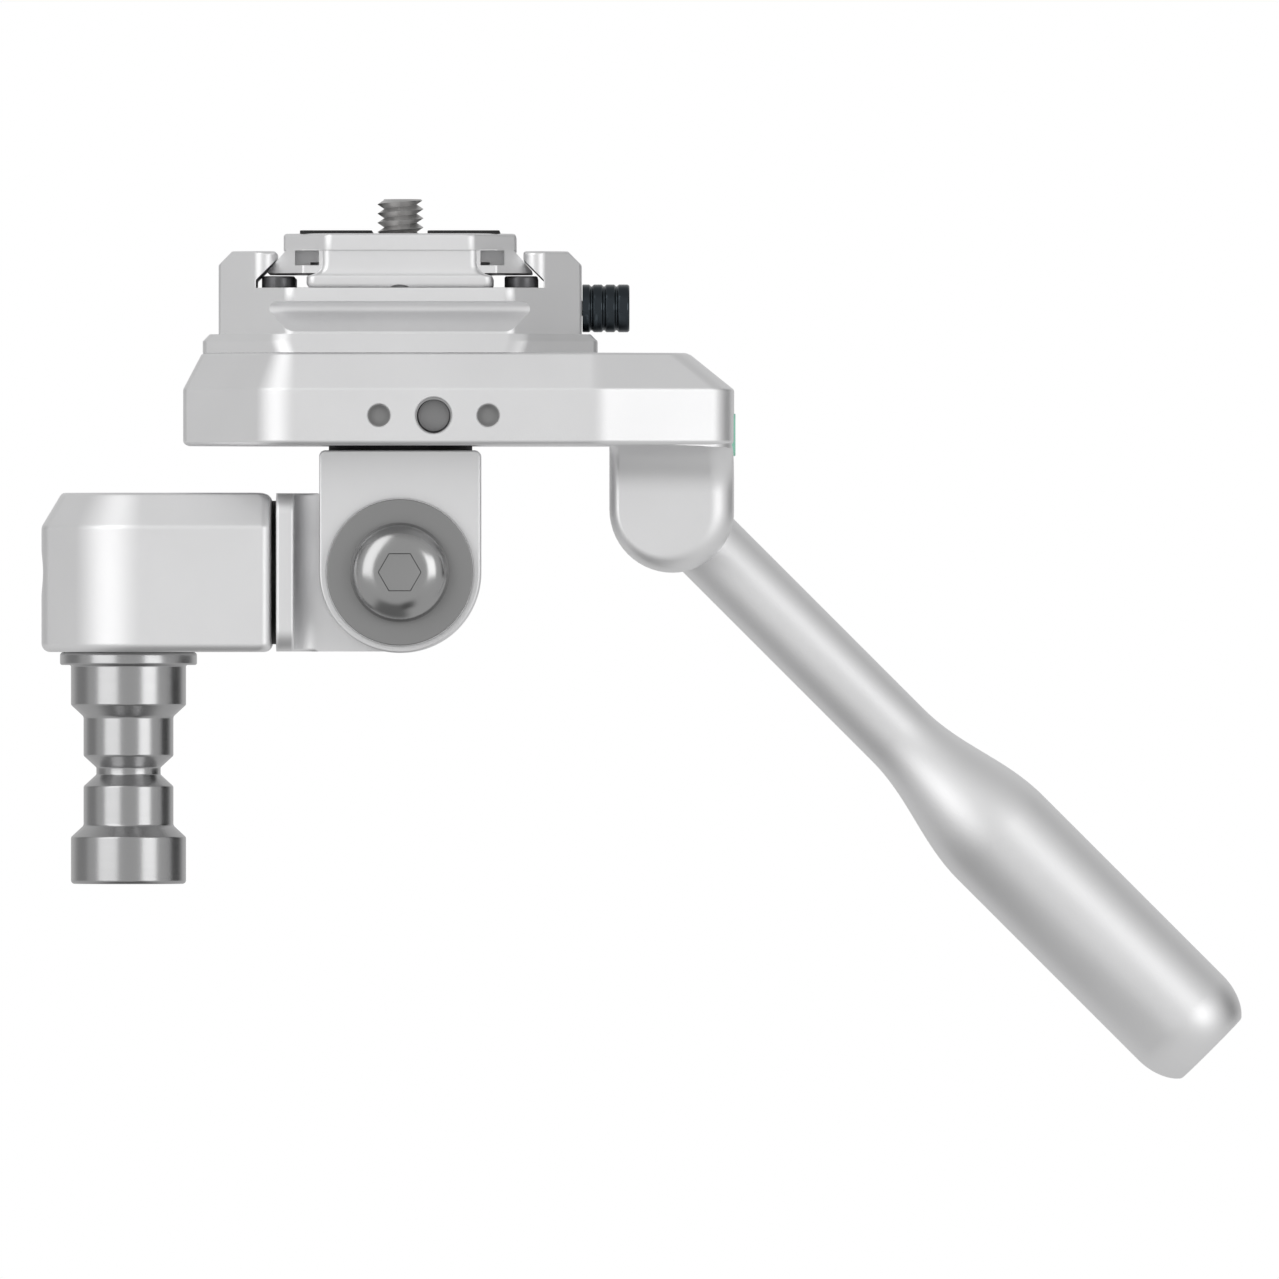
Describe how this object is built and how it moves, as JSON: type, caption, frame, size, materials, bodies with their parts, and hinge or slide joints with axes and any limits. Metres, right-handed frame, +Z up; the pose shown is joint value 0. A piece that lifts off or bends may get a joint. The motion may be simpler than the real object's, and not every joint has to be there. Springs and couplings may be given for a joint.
{
  "type": "three-way pan tilt head",
  "caption": "Compact three-way head on a 5/8 inch spigot, with roll, tilt and pan axes, a dovetail quick release clamp and plate, and a slanted straight handle.",
  "frame": {"origin": "on the spigot's axis at the underside of its collar", "axes": "+X from the spigot towards the handle, +Y away from the front with the round tilt screw, +Z up towards the camera"},
  "size_m": [0.1655, 0.0464, 0.1214],
  "materials": {
    "satin_aluminium": "satin bead blasted, clear anodised",
    "turned_steel": "turned, bright",
    "polished_steel": "polished",
    "washer_steel": "flat grey, ground",
    "dark_steel": "black oxide",
    "black_friction": "matt",
    "black_rubber": "matt",
    "dark_knob": "glossy dark anodised",
    "green_inlay": "satin"
  },
  "bodies": {
    "base": {"spigot": "turned_steel", "base_block": "satin_aluminium"},
    "roll_part": {"roll_washers": "dark_steel", "roll_screw": "dark_steel", "roll_disc": "black_friction", "knuckle": "satin_aluminium"},
    "tilt_part": {"tilt_discs": "black_friction", "fork": "satin_aluminium", "tilt_washers": "washer_steel", "tilt_screw": "polished_steel", "tilt_nut": "turned_steel", "pan_disc": "black_friction", "pan_screw": "dark_steel", "pan_washers": "dark_steel"},
    "pan_part": {"main_body": "satin_aluminium", "end_inlay": "green_inlay", "handle_stud": "dark_steel", "handle_set_screw": "dark_steel", "handle": "satin_aluminium", "platform": "satin_aluminium", "clamp": "satin_aluminium", "clamp_screws": "dark_steel", "release_bush": "turned_steel", "release_spring": "turned_steel"},
    "pull_part": {"release_rod": "turned_steel", "release_knob": "dark_knob"},
    "lock_part": {"lock_pin": "turned_steel"},
    "plate_part": {"plate": "satin_aluminium", "plate_pads": "black_rubber"},
    "screw_part": {"camera_screw": "polished_steel"}
  },
  "joints": [
    {"name": "roll", "type": "hinge", "parent": "base", "child": "roll_part", "pos_m": [0.0198, 0, 0.01277], "axis": [1, 0, 0], "range_deg": [-90, 90]},
    {"name": "tilt", "type": "hinge", "parent": "roll_part", "child": "tilt_part", "pos_m": [0.03754, 0, 0.01277], "axis": [0, 1, 0], "range_deg": [-5, 90]},
    {"name": "pan", "type": "hinge", "parent": "tilt_part", "child": "pan_part", "pos_m": [0.03754, 0, 0.03025], "axis": [0, 0, 1], "range_deg": [-120, 120]},
    {"name": "plate_slide", "type": "slide", "parent": "pan_part", "child": "plate_part", "axis": [0, -1, 0], "range_m": [0, 0.04]},
    {"name": "camera_screw_turn", "type": "hinge", "parent": "plate_part", "child": "screw_part", "pos_m": [0.03754, 0, 0.05937], "axis": [0, 0, 1], "continuous": true},
    {"name": "release_pull", "type": "slide", "parent": "pan_part", "child": "pull_part", "axis": [1, 0, 0], "range_m": [0, 0.0014], "stiffness_N_per_m": 500, "springref_m": -0.004, "deforming": ["release_spring"]},
    {"name": "lock_drop", "type": "slide", "parent": "pan_part", "child": "lock_part", "axis": [0, 0, 1], "range_m": [-0.0014, 0]}
  ],
  "couplings": [
    {"joint": "lock_drop", "follows": "release_pull", "ratio": -1}
  ]
}
